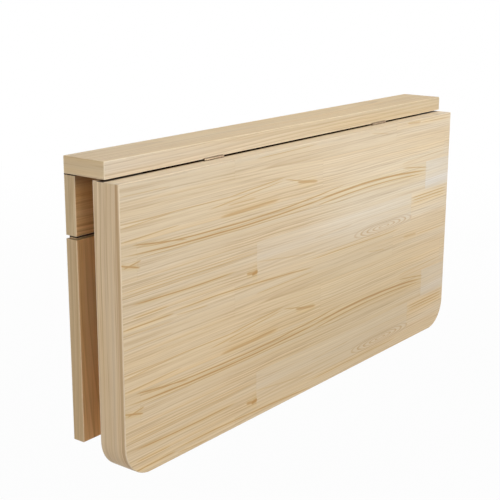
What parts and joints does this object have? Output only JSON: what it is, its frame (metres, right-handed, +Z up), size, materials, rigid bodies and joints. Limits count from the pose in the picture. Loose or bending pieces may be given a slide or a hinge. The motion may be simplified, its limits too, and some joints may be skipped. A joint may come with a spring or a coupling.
{
  "type": "wall mounted drop leaf table",
  "caption": "Pine table that hangs on a wall: a narrow fixed shelf on a wall rail, and a deep leaf with round corners that hinges up level with the shelf on folding stays.",
  "frame": {"origin": "centre of the wall rail's back face, on the wall", "axes": "+X along the wall to the right as seen from the front, +Y into the wall, +Z up"},
  "size_m": [0.9, 0.1016, 0.4472],
  "materials": {
    "pine": "clear satin lacquer",
    "dowel_wood": "plain",
    "hinge_steel": "zinc plated",
    "stay_steel": "zinc plated",
    "rivet_steel": "zinc plated",
    "screw_steel": "zinc plated"
  },
  "bodies": {
    "wall_frame": {"shelf": "pine", "wall_rail": "pine", "left_post": "pine", "right_post": "pine", "shelf_dowels": "dowel_wood", "post_dowels": "dowel_wood", "shelf_hinge_screws": "screw_steel", "wall_stay_screws": "screw_steel", "left_hinge_shelf_plate": "hinge_steel", "left_hinge_pin": "hinge_steel", "left_stay_wall_bracket": "stay_steel", "left_stay_wall_rivet": "rivet_steel", "right_hinge_shelf_plate": "hinge_steel", "right_hinge_pin": "hinge_steel", "right_stay_wall_bracket": "stay_steel", "right_stay_wall_rivet": "rivet_steel"},
    "leaf": {"leaf_board": "pine", "leaf_left_batten": "pine", "leaf_right_batten": "pine", "leaf_front_batten": "pine", "leaf_rear_batten": "pine", "leaf_cross_batten": "pine", "leaf_hinge_screws": "screw_steel", "leaf_stay_screws": "screw_steel", "left_hinge_leaf_plate": "hinge_steel", "left_stay_leaf_bracket": "stay_steel", "left_stay_leaf_rivet": "rivet_steel", "right_hinge_leaf_plate": "hinge_steel", "right_stay_leaf_bracket": "stay_steel", "right_stay_leaf_rivet": "rivet_steel"},
    "left_lower_stay": {"left_stay_lower_link": "stay_steel", "left_stay_lower_knee_rivet": "rivet_steel"},
    "left_upper_stay": {"left_stay_upper_link": "stay_steel", "left_stay_upper_knee_rivet": "rivet_steel"},
    "right_lower_stay": {"right_stay_lower_link": "stay_steel", "right_stay_lower_knee_rivet": "rivet_steel"},
    "right_upper_stay": {"right_stay_upper_link": "stay_steel", "right_stay_upper_knee_rivet": "rivet_steel"}
  },
  "joints": [
    {"name": "leaf_fold", "type": "hinge", "parent": "wall_frame", "child": "leaf", "pos_m": [0, -0.076, 0.0409], "axis": [-1, 0, 0], "range_deg": [0, 90]},
    {"name": "left_lower_stay_turn", "type": "hinge", "parent": "wall_frame", "child": "left_lower_stay", "pos_m": [-0.39605, -0.032, -0.1241], "axis": [-1, 0, 0], "range_deg": [0, 119.77]},
    {"name": "left_upper_stay_turn", "type": "hinge", "parent": "leaf", "child": "left_upper_stay", "pos_m": [-0.39885, -0.0416, -0.1241], "axis": [1, 0, 0], "range_deg": [0, 145.77]},
    {"name": "right_lower_stay_turn", "type": "hinge", "parent": "wall_frame", "child": "right_lower_stay", "pos_m": [0.39605, -0.032, -0.1241], "axis": [-1, 0, 0], "range_deg": [0, 119.77]},
    {"name": "right_upper_stay_turn", "type": "hinge", "parent": "leaf", "child": "right_upper_stay", "pos_m": [0.39885, -0.0416, -0.1241], "axis": [1, 0, 0], "range_deg": [0, 145.77]}
  ],
  "couplings": [
    {"joint": "left_lower_stay_turn", "follows": "leaf_fold", "ratio": 1.3308},
    {"joint": "left_upper_stay_turn", "follows": "leaf_fold", "ratio": 1.6196},
    {"joint": "right_lower_stay_turn", "follows": "leaf_fold", "ratio": 1.3308},
    {"joint": "right_upper_stay_turn", "follows": "leaf_fold", "ratio": 1.6196}
  ]
}
